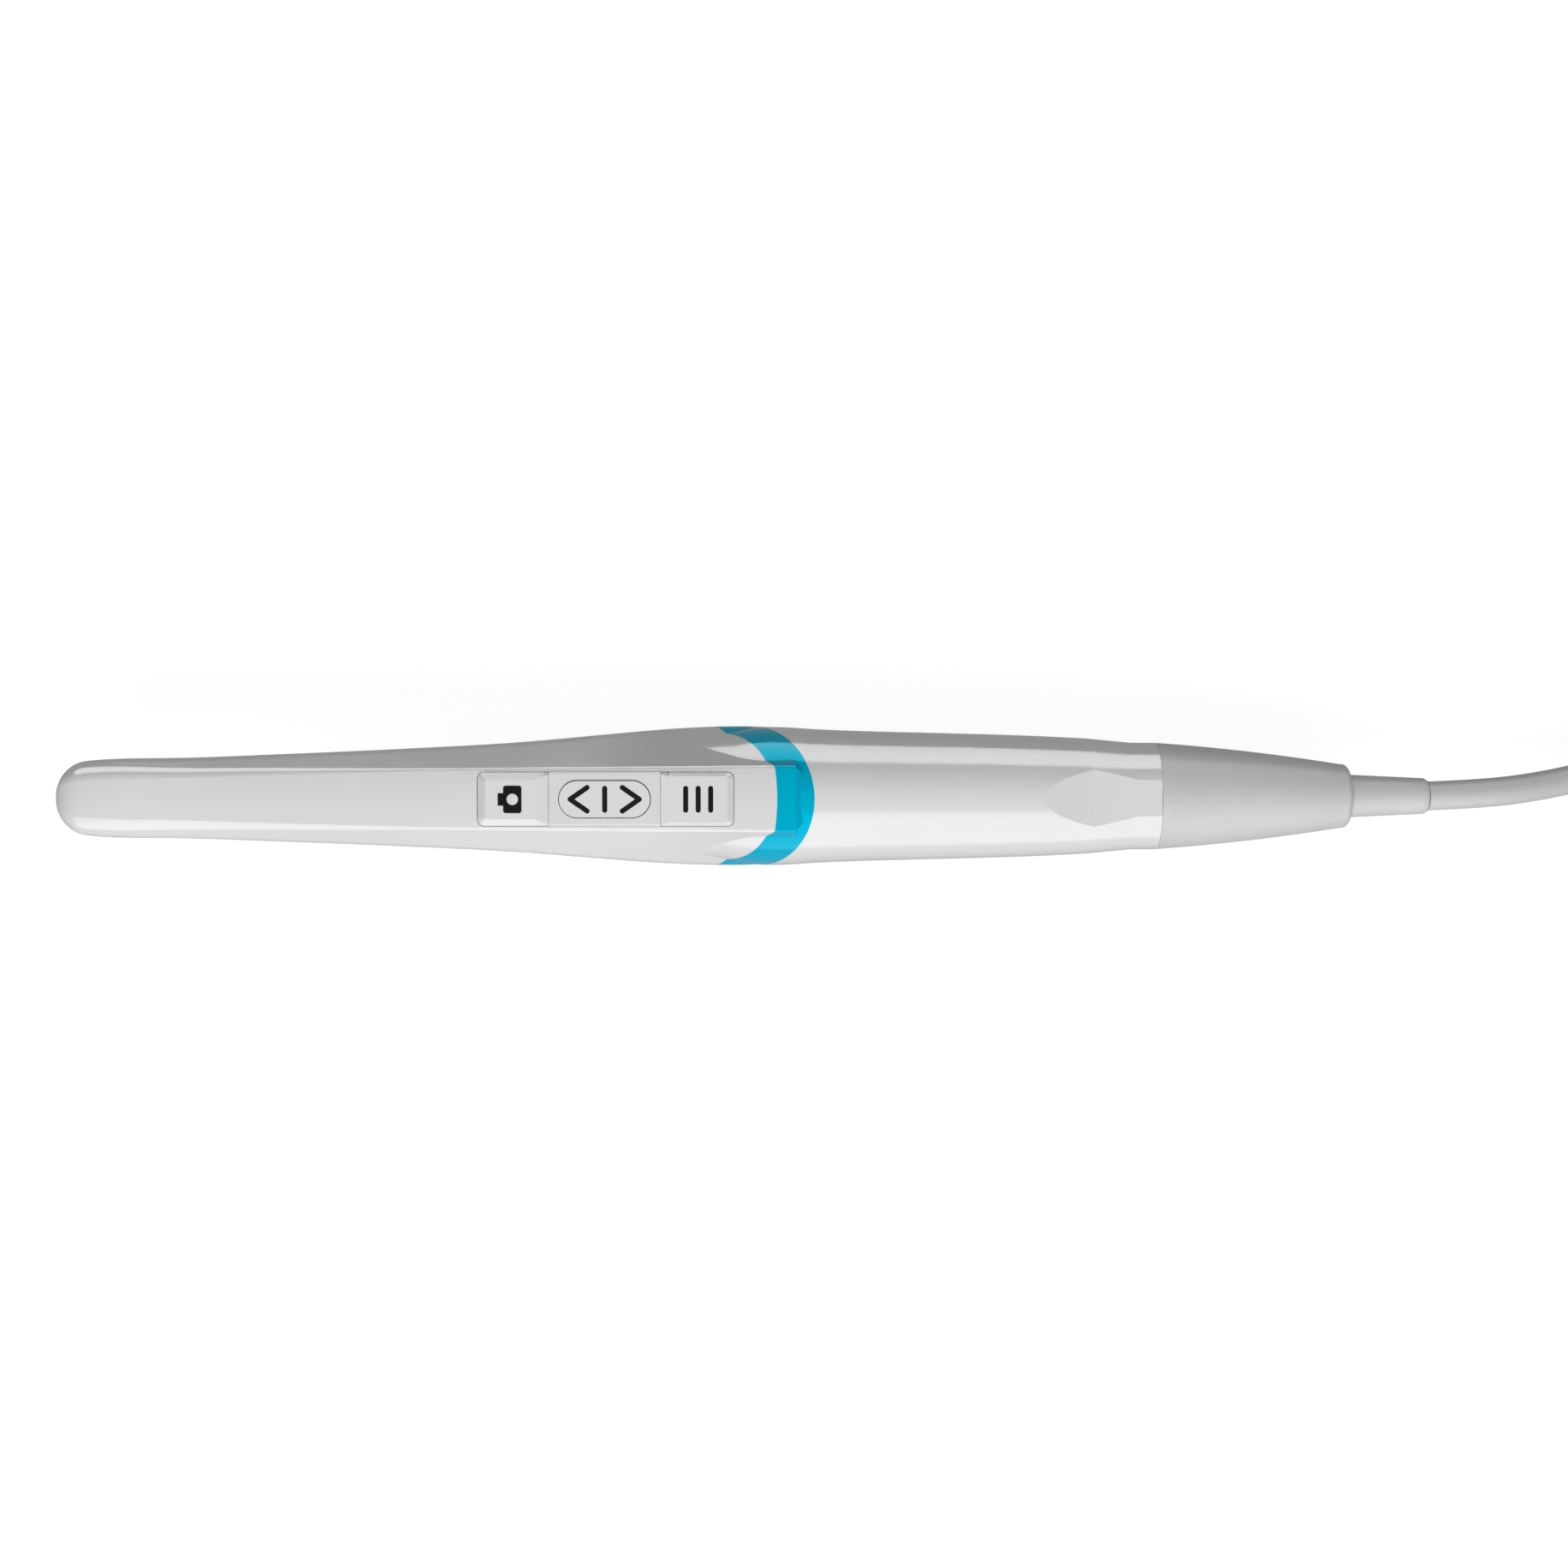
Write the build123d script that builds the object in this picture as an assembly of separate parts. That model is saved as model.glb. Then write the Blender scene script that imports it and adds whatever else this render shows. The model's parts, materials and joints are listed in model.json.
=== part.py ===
"""Intraoral camera: a slim hand-held dental camera with three keys on a flat deck and a USB cord.

The handpiece lies along X with its nose towards -X and its key deck facing +Z. While it is
being built, x runs along the handpiece, from NOSE_X at its tip, and z = 0 is the axis of the
round handle. Every node is moved on export, so that the origin is on the table, below the middle
of the handpiece.
All sizes are in millimetres.
"""

from build123d import *
import math
import os

# ------------------------------------------------------------------ driving dimensions
NOSE_X = 1.9  # tip of the nose
CAP_END = 200.0  # rear face of the rear cap
RELIEF_END = 212.3  # free end of the strain relief, where the cord comes out
BELLY_RADIUS = 10.87  # the handle at its thickest, and its axis height over the table
WALL = 1.1  # front shells
FIT = 0.02  # parts that seat in one another
KEY_GAP = 0.06  # round a key that moves

# Front casing, station by station: x, half width, height of the underside.
FRONT_STATIONS = [
    (7.6, 5.80, 1.6),
    (19.6, 6.15, 1.6),
    (32.4, 6.57, 1.1),
    (45.6, 7.10, 0.1),
    (58.4, 7.70, -1.4),
    (71.7, 8.45, -3.8),
    (84.5, 9.55, -6.9),
    (97.2, 10.58, -9.66),
    (106.0, 10.84, -10.74),
    (114.5, 10.40, -10.42),
]
NOSE_LENGTH = FRONT_STATIONS[0][0] - NOSE_X
NOSE_AXIS_Z = 6.3
NOSE_ANGLES = (12, 30, 50, 70)
DECK_Z = 11.0  # crown of the deck
DECK_END = FRONT_STATIONS[-1][0]
RAMP_LENGTH, RAMP_DROP, RAMP_CORNER = 1.2, 0.95, 2.2  # the slope that ends the deck on the ring
CROWN_RADIUS = 28.5
CREASE_AT_NOSE, CREASE_AT_RING = 3.96, 4.97  # half width of the deck
SIDE_SLOPE, SLOPE_AT_RING = 54, 64  # degrees, the flat flank below the deck's edge
STEEPENS = (88.0, 112.0)  # where the flank steepens
EDGE_RADIUS_NOSE, EDGE_RADIUS_DECK = 3.2, 0.6
EDGE_CHANGES_UNTIL = 60.0
PARTING_AT_NOSE, PARTING_FALL = 6.2, 0.05  # the seam between the front shells slopes down

# Round handle: x and radius.
HANDLE = [
    (92.0, 9.2),
    (100.4, 9.62),
    (103.0, 9.8),
    (105.0, 10.08),
    (107.0, 10.42),
    (109.5, 10.66),
    (112.0, 10.68),
    (117.2, 10.38),
    (123.8, 10.1),
]
HANDLE_TAIL = [(159.8, 8.9), (166.3, 8.27), (170.2, 8.25)]
SEAM_X = HANDLE_TAIL[-1][0]
BORE_FRONT, BORE_REAR = 8.32, 7.0
DENT = [(147.0, 10.29), (159.8, 7.76), (172.0, 7.8)]  # shallow V of each grip facet: x, height
DENT_COUNT = 3

# Coloured ring: two parallel slanting planes, x = start + RING_LEAN * z.
RING_LEAN = 0.87
RING_FRONT, RING_REAR = 102.1, 108.3

# Keys. All three stand on the deck as one raised island.
ISLAND = (66.5, 105.2)
ISLAND_HALF_WIDTH = 4.1
ISLAND_CORNER = 1.0
CAPTURE_TOP, MENU_TOP, PANEL_TOP, ROCKER_TOP = 11.75, 11.4, 11.2, 11.4
CAPTURE_FLAT = (67.8, 75.4)
PANEL = (77.3, 94.1)
MENU_FLAT = (95.4, 104.2)
CAPTURE_FLAT_HALF, MENU_FLAT_HALF, PANEL_FLAT_HALF = 3.0, 3.5, 3.73
KEY_FOOT_TOP, SHOULDER_BOTTOM = 10.72, 10.6
ROCKER_X, ROCKER_LENGTH, ROCKER_WIDTH = 85.7, 13.7, 5.5
PIN_Z, PIN_RADIUS, PIN_LENGTH = 9.6, 0.5, 7.6
KEY_FLANGE = (8.75, 9.25)
CARRIER = (7.4, 8.2)  # bottom and top of the key carrier
KEY_BOARD_BOTTOM = 6.6
BOARD_SPAN = (65.8, 104.6)
DOME_TOP = 7.9
STEM_RADIUS = 1.0
CAPTURE_X, MENU_X = 71.9, 99.8
ROCKER_STEM = 4.6
INLAY = 0.15
STROKE = 0.76

# Head optics.
WINDOW_X = 9.5
OPTIC_Z = 5.65
PRISM = 3.4
SPOT_FACE_Z = 2.1

# Cord.
CORD_RADIUS = 2.25
HANK_RUN, HANK_START_X, HANK_Y = 64.2, 263.0, -12.0
HANK_RADII = (12.5, 17.0, 21.5)
HANK_LIFT, HANK_LAYERS = 0.8, 4
TIE_WIDTH, TIE_THICKNESS = 9.0, 0.7
FLOOR = -BELLY_RADIUS
CORD_LEAD = [
    (RELIEF_END, 0.0, 0.0),
    (221.0, 0.3, -0.5),
    (230.5, 1.3, -3.0),
    (240.0, 3.1, -6.0),
    (250.5, 6.0, -7.6),
    (262.0, 8.7, FLOOR + HANK_LIFT + CORD_RADIUS + 0.1),
    (272.0, 9.5, FLOOR + HANK_LIFT + CORD_RADIUS),
]
CORD_TAIL = [
    (256.0, 0.2, -3.3),
    (266.0, 0.0, -3.5),
    (277.2, -4.2, -5.1),
    (288.0, -8.6, -6.5),
    (294.0, -9.6, FLOOR + 4.0),
]
PLUG_X, PLUG_Y, PLUG_Z = CORD_TAIL[-1]

ORIGIN = Location((-(NOSE_X + RELIEF_END) / 2, 0, BELLY_RADIUS))
os.makedirs("parts", exist_ok=True)
SIDES = (-1, 1)


# ------------------------------------------------------------------ helpers
def box(x, y, z):
    """A box from three (low, high) pairs."""
    corner = Location((sum(x) / 2, sum(y) / 2, sum(z) / 2))
    return corner * Box(x[1] - x[0], y[1] - y[0], z[1] - z[0])


def rod(radius, x, y=0.0, z=0.0):
    """A cylinder along X between two x values."""
    return Location(((x[0] + x[1]) / 2, y, z), (0, 90, 0)) * Cylinder(radius, x[1] - x[0])


def post(radius, x, y, z):
    """A cylinder along Z between two z values."""
    return Location((x, y, (z[0] + z[1]) / 2)) * Cylinder(radius, z[1] - z[0])


def cross_pin(radius, x, z, half_length):
    """A cylinder along Y, centred on y = 0."""
    return Location((x, 0, z), (90, 0, 0)) * Cylinder(radius, 2 * half_length)


def turned(points):
    """A solid of revolution about the X axis from a closed outline of (x, radius) points."""
    outline = make_face(Polyline([(x, 0, r) for x, r in points], close=True))
    return revolve(outline, Axis.X)


def slab(outline, z):
    """A flat sketch pulled up between two z values."""
    return Location((0, 0, z[0])) * extrude(outline, z[1] - z[0], dir=(0, 0, 1))


def in_front_of(x_on_axis):
    """Everything on the nose side of a slanting ring plane."""
    reach = 40
    corners = [
        (-reach, -reach),
        (x_on_axis - RING_LEAN * reach, -reach),
        (x_on_axis + RING_LEAN * reach, reach),
        (-reach, reach),
    ]
    face = make_face(Polyline([(x, 0, z) for x, z in corners], close=True))
    return extrude(face, reach, dir=(0, 1, 0), both=True)


def prism_xz(points, half_width):
    """A prism across Y from a closed outline of (x, z) points."""
    face = make_face(Polyline([(x, 0, z) for x, z in points], close=True))
    return extrude(face, half_width, dir=(0, 1, 0), both=True)


def save(name, shape):
    """Write one node in its place in the object's own frame."""
    placed = ORIGIN * shape
    solids = placed.solids()
    export_step(solids[0] if len(solids) == 1 else Compound(children=solids), f"parts/{name}.step")


# ------------------------------------------------------------------ casing
def crease(x):
    """Half width of the deck at x."""
    return CREASE_AT_NOSE + (CREASE_AT_RING - CREASE_AT_NOSE) * x / DECK_END


def flank_slope(x):
    """Slope of the flank at x, in degrees."""
    share = min(max((x - STEEPENS[0]) / (STEEPENS[1] - STEEPENS[0]), 0), 1)
    return SIDE_SLOPE + (SLOPE_AT_RING - SIDE_SLOPE) * share


def front_section(x, half_width, underside, inset, scale=1.0):
    """Closed outline of the front casing at x: crowned deck, flat flanks and a round belly."""
    slope = math.radians(flank_slope(x))
    half_width -= inset
    underside += inset
    edge_y = crease(x) - inset * math.tan(slope / 2)
    edge_z = DECK_Z - inset - edge_y**2 / (2 * CROWN_RADIUS)
    tilt = math.asin(edge_y / CROWN_RADIUS)
    share = min(x / EDGE_CHANGES_UNTIL, 1)
    radius = EDGE_RADIUS_NOSE + (EDGE_RADIUS_DECK - EDGE_RADIUS_NOSE) * share
    radius = max(radius - inset, EDGE_RADIUS_DECK)
    cut = radius * math.tan((slope - tilt) / 2)
    deck_end = (edge_y - cut * math.cos(tilt), edge_z + cut * math.sin(tilt))
    flank_start = (edge_y + cut * math.cos(slope), edge_z - cut * math.sin(slope))
    centre = (deck_end[0] - radius * math.sin(tilt), deck_end[1] - radius * math.cos(tilt))
    middle = (slope + tilt) / 2
    on_edge = (centre[0] + radius * math.sin(middle), centre[1] + radius * math.cos(middle))
    widest_z = edge_z - math.tan(slope) * (half_width - edge_y)
    flank_end = (half_width - math.cos(slope), widest_z + math.sin(slope))
    shoulder = (half_width - 0.05, widest_z - 0.8)
    depth = widest_z - underside
    quarter = (0.76 * half_width, widest_z - 0.72 * depth)

    def at(y, z):
        return Vector(x, y * scale, NOSE_AXIS_Z + (z - NOSE_AXIS_Z) * scale)

    def mirrored(point):
        return at(-point[0], point[1])

    def belly(side):
        """One half of the round underside, from the flank to the lowest point."""
        points = [at(side * y, z) for y, z in (flank_end, shoulder, quarter, (0, underside))]
        down = Vector(0, side * math.cos(slope), -math.sin(slope))
        return Spline(points, tangents=[down, Vector(0, -side, 0)])

    return Wire(
        [
            ThreePointArc(mirrored(deck_end), at(0, DECK_Z - inset), at(*deck_end)),
            ThreePointArc(at(*deck_end), at(*on_edge), at(*flank_start)),
            Line(at(*flank_start), at(*flank_end)),
            belly(1),
            belly(-1),
            Line(mirrored(flank_end), mirrored(flank_start)),
            ThreePointArc(mirrored(flank_start), mirrored(on_edge), mirrored(deck_end)),
        ]
    )


def front_loft(inset):
    """The front casing's outer skin, or its inner skin at a depth of inset."""
    nose = NOSE_LENGTH - inset
    half_width, underside = FRONT_STATIONS[0][1:]
    wires = []
    for angle in NOSE_ANGLES:
        x = NOSE_X + inset + nose * (1 - math.cos(math.radians(angle)))
        wires.append(front_section(x, half_width, underside, inset, math.sin(math.radians(angle))))
    wires += [front_section(*station, inset) for station in FRONT_STATIONS]
    return Solid.make_loft(wires)


def deck_ramp():
    """The short slope at the rear end of the deck, down into the round handle."""
    x, half_width, underside = FRONT_STATIONS[-1]
    start = front_section(x, half_width, underside, 0)
    end = front_section(x + RAMP_LENGTH, half_width, underside, RAMP_DROP)
    ramp = Solid.make_loft([start, end], ruled=True)
    length, width = 4 * RAMP_LENGTH, 2 * crease(x)
    middle = x + RAMP_LENGTH - length / 2
    return ramp & slab(Pos(middle, 0) * RectangleRounded(length, width, RAMP_CORNER), (0, 12))


def handle_skin():
    """The round handle's outer skin, with its grip facets, from inside the front casing."""
    front = Spline([(x, 0, r) for x, r in HANDLE + HANDLE_TAIL[:1]])
    tail = Polyline([(x, 0, r) for x, r in HANDLE_TAIL])
    start, end = HANDLE[0], HANDLE_TAIL[-1]
    close = Polyline([(end[0], 0, end[1]), (end[0], 0, 0), (start[0], 0, 0), (start[0], 0, start[1])])
    skin = revolve(make_face([front, tail, close]), Axis.X)
    over = [(DENT[-1][0], DENT[0][1] + 3), (DENT[0][0], DENT[0][1] + 3)]
    cutter = prism_xz(DENT + over, 9)
    for turn in range(DENT_COUNT):
        skin -= Rot(X=360 / DENT_COUNT * turn) * cutter
    return skin


outer_front = front_loft(0)
inner_front = front_loft(WALL)
outer = outer_front + deck_ramp() + handle_skin()
collar_bore = rod(BORE_FRONT, (95, 124))
ahead_of_ring = in_front_of(RING_FRONT)
ahead_of_rear = in_front_of(RING_REAR)

parting_x = 130
above_parting = prism_xz(
    [
        (-5, PARTING_AT_NOSE + 5 * PARTING_FALL),
        (parting_x, PARTING_AT_NOSE - PARTING_FALL * parting_x),
        (parting_x, 30),
        (-5, 30),
    ],
    30,
)
front_casing = (outer & ahead_of_ring) - inner_front - collar_bore

island_length = ISLAND[1] - ISLAND[0]
island_x = sum(ISLAND) / 2
island_outline = Pos(island_x, 0) * RectangleRounded(
    island_length, 2 * ISLAND_HALF_WIDTH, ISLAND_CORNER
)
island_opening = slab(
    Pos(island_x, 0)
    * RectangleRounded(island_length + 2 * FIT, 2 * (ISLAND_HALF_WIDTH + FIT), ISLAND_CORNER),
    (9, 14),
)
spot_face = post(4.7, WINDOW_X, 0, (0, SPOT_FACE_Z))
window_hole = post(3.7, WINDOW_X, 0, (0, 4))

front_upper_shell = (front_casing & above_parting) - island_opening
front_lower_shell = front_casing - above_parting - spot_face - window_hole
status_ring = (outer & ahead_of_rear) - ahead_of_ring - collar_bore - inner_front

bore_profile = [(90, 0), (90, BORE_FRONT), (124, BORE_FRONT), (145, 7.9), (156, BORE_REAR)]
bore_profile += [(SEAM_X + 1, BORE_REAR), (SEAM_X + 1, 0)]
rear_shell = outer - ahead_of_rear - turned(bore_profile)

# The collar joins the front casing, the ring and the rear shell from inside.
collar_planes = in_front_of(RING_REAR + 5) - in_front_of(RING_FRONT - 2.6)
joint_collar = (rod(BORE_FRONT - FIT, (95, 123)) - rod(BORE_FRONT - 1.0, (90, 130))) & collar_planes

CAP_OUTLINE = [(SEAM_X, 8.25), (185.0, 6.86), (198.8, 4.95)]
cap_side = Spline([(x, 0, r) for x, r in CAP_OUTLINE])
cap_end = ThreePointArc((198.8, 0, 4.95), (199.69, 0, 4.65), (CAP_END, 0, 3.9))
cap_inside = Polyline(
    [
        (CAP_END, 0, 3.9),
        (CAP_END, 0, 3.34),
        (198.2, 0, 3.34),
        (198.2, 0, 4.2),
        (196.0, 0, 4.2),
        (184.0, 0, 5.4),
        (166.0, 0, 5.6),
        (166.0, 0, BORE_REAR - FIT),
        (167.2, 0, BORE_REAR - FIT),
        (167.2, 0, 6.3),
        (168.6, 0, 6.3),
        (168.6, 0, BORE_REAR - FIT),
        (SEAM_X, 0, BORE_REAR - FIT),
        (SEAM_X, 0, 8.25),
    ]
)
rear_cap = revolve(make_face([cap_side, cap_end, cap_inside]), Axis.X)
cap_seal = Location((167.9, 0, 0), (0, 90, 0)) * Torus(6.66, 0.33)

strain_relief = turned(
    [
        (196.2, CORD_RADIUS + FIT),
        (196.2, 4.15),
        (198.1, 4.15),
        (198.1, 3.3),
        (CAP_END, 3.32),
        (211.7, 2.78),
        (RELIEF_END, 2.45),
        (RELIEF_END, CORD_RADIUS + FIT),
    ]
)

save("front_upper_shell", front_upper_shell)
save("front_lower_shell", front_lower_shell)
save("status_ring", status_ring)
save("rear_shell", rear_shell)
save("joint_collar", joint_collar)
save("rear_cap", rear_cap)
save("cap_seal", cap_seal)
save("strain_relief", strain_relief)


# ------------------------------------------------------------------ keys
def raised_key(base_x, flat_x, flat_half_width, top):
    """A key that stands on the deck with sloping sides, its flange and its plunger."""
    length = base_x[1] - base_x[0] - 2 * KEY_GAP
    width = 2 * (ISLAND_HALF_WIDTH - KEY_GAP)
    foot = Pos(sum(base_x) / 2, 0) * RectangleRounded(length, width, ISLAND_CORNER - KEY_GAP)
    flat_length = flat_x[1] - flat_x[0]
    flat = Pos(sum(flat_x) / 2, 0) * RectangleRounded(flat_length, 2 * flat_half_width, 0.45)
    body = slab(foot, (KEY_FLANGE[1], KEY_FOOT_TOP))
    slope = loft([Location((0, 0, KEY_FOOT_TOP)) * foot, Location((0, 0, top)) * flat])
    flange = box((base_x[0] - 0.8, base_x[1] + 0.8), (-4.0, 4.0), KEY_FLANGE)
    return body + slope + flange


def key_shoulder(flat_end, base_end, half_width, top):
    """The slope from a key's flat face down to the middle panel, square where it meets it."""
    foot_half = ISLAND_HALF_WIDTH - KEY_GAP
    sections = []
    for x, half, height in ((flat_end, half_width, top), (base_end, PANEL_FLAT_HALF, PANEL_TOP)):
        right = [(foot_half, SHOULDER_BOTTOM), (foot_half, KEY_FOOT_TOP), (half, height)]
        left = [(-y, z) for y, z in reversed(right)]
        sections.append(make_face(Polyline([(x, y, z) for y, z in right + left], close=True)))
    return loft(sections)


def stroke(start, end):
    """A printed line with round ends, as a flat sketch."""
    (x1, y1), (x2, y2) = start, end
    angle = math.degrees(math.atan2(y2 - y1, x2 - x1))
    place = Location(((x1 + x2) / 2, (y1 + y2) / 2, 0), (0, 0, angle))
    return place * SlotCenterToCenter(math.hypot(x2 - x1, y2 - y1), STROKE)


def chevron(apex_x, open_x, half_height):
    """An arrow head whose point is at apex_x."""
    upper = stroke((apex_x, 0), (open_x, half_height))
    return upper + stroke((apex_x, 0), (open_x, -half_height))


BAR_HALF = 1.64
camera_sketch = Pos(CAPTURE_X, 0) * RectangleRounded(2.76, 4.13, 0.4)
camera_sketch += Pos(CAPTURE_X - 1.6, 0) * RectangleRounded(1.2, 1.88, 0.15)
camera_sketch -= Pos(CAPTURE_X, 0) * Circle(0.86)
arrow_sketch = chevron(ROCKER_X - 5.15, ROCKER_X - 2.6, 1.77)
arrow_sketch += chevron(ROCKER_X + 5.25, ROCKER_X + 2.7, 1.77)
arrow_sketch += stroke((ROCKER_X + 0.05, -BAR_HALF), (ROCKER_X + 0.05, BAR_HALF))
menu_sketch = Sketch()
for step in (-1.88, 0, 1.88):
    menu_sketch += stroke((MENU_X + step, -BAR_HALF), (MENU_X + step, BAR_HALF))


def icon(sketch, top):
    """A symbol let into a key's face, just proud of it."""
    return slab(sketch, (top - INLAY, top + 0.03))


KEY_TRAVEL = 0.5
ROCKER_ANGLE = 3
ROCKER_GAP = 0.14
stem_z = (DOME_TOP + KEY_TRAVEL + 0.02, KEY_FLANGE[0] + 0.1)

capture_icon = icon(camera_sketch, CAPTURE_TOP)
capture_key = raised_key((ISLAND[0], PANEL[0]), CAPTURE_FLAT, CAPTURE_FLAT_HALF, CAPTURE_TOP)
capture_key += key_shoulder(CAPTURE_FLAT[1], PANEL[0] - KEY_GAP, CAPTURE_FLAT_HALF, CAPTURE_TOP)
capture_key += post(STEM_RADIUS, CAPTURE_X, 0, stem_z)
capture_key -= capture_icon
menu_icon = icon(menu_sketch, MENU_TOP)
menu_key = raised_key((PANEL[1], ISLAND[1]), MENU_FLAT, MENU_FLAT_HALF, MENU_TOP)
menu_key += key_shoulder(MENU_FLAT[0], PANEL[1] + KEY_GAP, MENU_FLAT_HALF, MENU_TOP)
menu_key += post(STEM_RADIUS, MENU_X, 0, stem_z)
menu_key -= menu_icon

rocker_icons = icon(arrow_sketch, ROCKER_TOP)
rocker_outline = Pos(ROCKER_X, 0) * SlotOverall(ROCKER_LENGTH, ROCKER_WIDTH)
rocker_key = slab(rocker_outline, (9.0, ROCKER_TOP)) - rocker_icons
rocker_key -= cross_pin(PIN_RADIUS + FIT, ROCKER_X, PIN_Z, 6)
stem_drop = ROCKER_STEM * math.sin(math.radians(ROCKER_ANGLE))
for side in SIDES:
    stem_reach = (DOME_TOP + stem_drop + 0.08, 9.1)
    rocker_key += post(0.8, ROCKER_X + side * ROCKER_STEM, 0, stem_reach)
rocker_pin = cross_pin(PIN_RADIUS, ROCKER_X, PIN_Z, PIN_LENGTH / 2)

panel_half = ISLAND_HALF_WIDTH - FIT
panel_foot = Pos(ROCKER_X, 0) * Rectangle(PANEL[1] - PANEL[0], 2 * panel_half)
panel_flat = Pos(ROCKER_X, 0) * Rectangle(PANEL[1] - PANEL[0], 2 * PANEL_FLAT_HALF)
key_panel = slab(panel_foot, (9.9, 10.78))
key_panel += loft([Location((0, 0, 10.78)) * panel_foot, Location((0, 0, PANEL_TOP)) * panel_flat])
for side in SIDES:
    wall = (2.97, 4.0) if side > 0 else (-4.0, -2.97)
    for middle, half_length in [(ROCKER_X, 1.3), (80.2, 0.6), (91.2, 0.6)]:
        key_panel += box((middle - half_length, middle + half_length), wall, (CARRIER[1], 10.0))
opening_outline = Pos(ROCKER_X, 0) * SlotOverall(
    ROCKER_LENGTH + 2 * ROCKER_GAP, ROCKER_WIDTH + 2 * ROCKER_GAP
)
key_panel -= slab(opening_outline, (8, 12))
key_panel -= cross_pin(PIN_RADIUS, ROCKER_X, PIN_Z, PIN_LENGTH / 2)

SCREW_POINTS = [(x, side * 3.3) for x in (67.6, 103.0) for side in SIDES]
DOME_POINTS = [CAPTURE_X, ROCKER_X - ROCKER_STEM, ROCKER_X + ROCKER_STEM, MENU_X]
key_carrier = box(BOARD_SPAN, (-4.6, 4.6), CARRIER)
key_board = box(BOARD_SPAN, (-4.6, 4.6), (KEY_BOARD_BOTTOM, CARRIER[0]))
for x in DOME_POINTS:
    key_carrier -= post(1.75, x, 0, (CARRIER[0] - 1, CARRIER[1] + 1))
MAIN_BOARD_TOP = 3.6
key_screws, key_spacers = [], []
for x, y in SCREW_POINTS:
    screw = post(0.95, x, y, (7.8, CARRIER[1])) + post(0.5, x, y, (4.2, 7.9))
    key_screws.append(screw)
    key_carrier -= screw
    key_board -= screw
    key_spacers.append(post(1.1, x, y, (MAIN_BOARD_TOP, KEY_BOARD_BOTTOM)) - screw)


def dome(x):
    """A snap dome on the key board."""
    height = DOME_TOP - CARRIER[0]
    return Location((x, 0, CARRIER[0] + height / 2)) * Cone(1.6, 0.9, height)


save("capture_key", capture_key)
save("capture_icon", capture_icon)
save("rocker_key", rocker_key)
save("rocker_icons", rocker_icons)
save("rocker_pin", rocker_pin)
save("menu_key", menu_key)
save("menu_icon", menu_icon)
save("key_panel", key_panel)
save("key_carrier", key_carrier)
save("key_board", key_board)
save("key_screws", Compound(children=key_screws))
save("key_spacers", Compound(children=key_spacers))
save("capture_dome", dome(DOME_POINTS[0]))
save("rocker_domes", Compound(children=[dome(x) for x in DOME_POINTS[1:3]]))
save("menu_dome", dome(DOME_POINTS[3]))

# ------------------------------------------------------------------ head optics
BEZEL = (1.3, SPOT_FACE_Z)
GLASS = (SPOT_FACE_Z, 2.43)
LED_Z = (2.45, 2.9)
LED_BOARD_Z = (2.9, 3.5)
HOLDER_X = (6.8, 13.0)
BARREL_X = (13.05, 24.4)
BARREL_BORE = 2.3
SENSOR_X, SENSOR_BOARD_X, BULKHEAD_X = (24.9, 25.8), (25.8, 26.6), (26.8, 28.0)

window_bezel = post(4.68, WINDOW_X, 0, BEZEL) - post(3.2, WINDOW_X, 0, (0, 4))
lens_window = post(3.68, WINDOW_X, 0, GLASS)
led_board = post(3.3, WINDOW_X, 0, LED_BOARD_Z) - post(1.75, WINDOW_X, 0, (0, 5))
led_chip = Location((2.5, 0, sum(LED_Z) / 2)) * Box(0.8, 1.0, LED_Z[1] - LED_Z[0])
leds = [Location((WINDOW_X, 0, 0), (0, 0, 60 * turn)) * led_chip for turn in range(6)]

leg = PRISM / 2
prism = prism_xz(
    [
        (WINDOW_X - leg, OPTIC_Z - leg),
        (WINDOW_X + leg, OPTIC_Z - leg),
        (WINDOW_X + leg, OPTIC_Z + leg),
    ],
    leg,
)
prism_holder = box(HOLDER_X, (-3.0, 3.0), (3.6, 8.4)) - prism
prism_holder -= post(1.6, WINDOW_X, 0, (3, OPTIC_Z - leg))
prism_holder -= rod(1.6, (WINDOW_X + leg, HOLDER_X[1]), z=OPTIC_Z)
lens_barrel = rod(2.8, BARREL_X, z=OPTIC_Z) - rod(BARREL_BORE, (10, 25), z=OPTIC_Z)


def lens(x, curve_radius):
    """A double convex lens that fills the barrel's bore, between two x values."""
    rim = BARREL_BORE - FIT
    middle = rim / 2
    rim_sag = curve_radius - math.sqrt(curve_radius**2 - rim**2)
    middle_sag = curve_radius - math.sqrt(curve_radius**2 - middle**2)
    front, back = x
    outline = [
        ThreePointArc((front, 0, 0), (front + middle_sag, 0, middle), (front + rim_sag, 0, rim)),
        Line((front + rim_sag, 0, rim), (back - rim_sag, 0, rim)),
        ThreePointArc((back - rim_sag, 0, rim), (back - middle_sag, 0, middle), (back, 0, 0)),
        Line((back, 0, 0), (front, 0, 0)),
    ]
    return Location((0, 0, OPTIC_Z)) * revolve(make_face(outline), Axis.X)


image_sensor = box(SENSOR_X, (-2.2, 2.2), (OPTIC_Z - 1.9, OPTIC_Z + 1.9))
sensor_board = box(SENSOR_BOARD_X, (-3.4, 3.4), (3.6, 8.9))
heat_spreader = box((7.5, 25.4), (-3.1, 3.1), (8.6, 9.3))
inner_fit = front_loft(WALL + FIT)
head_bulkhead = inner_fit & box(BULKHEAD_X, (-9, 9), (-9, 12))
head_bulkhead -= box(BULKHEAD_X, (-2.0, 2.0), (5.2, 6.3))

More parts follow.
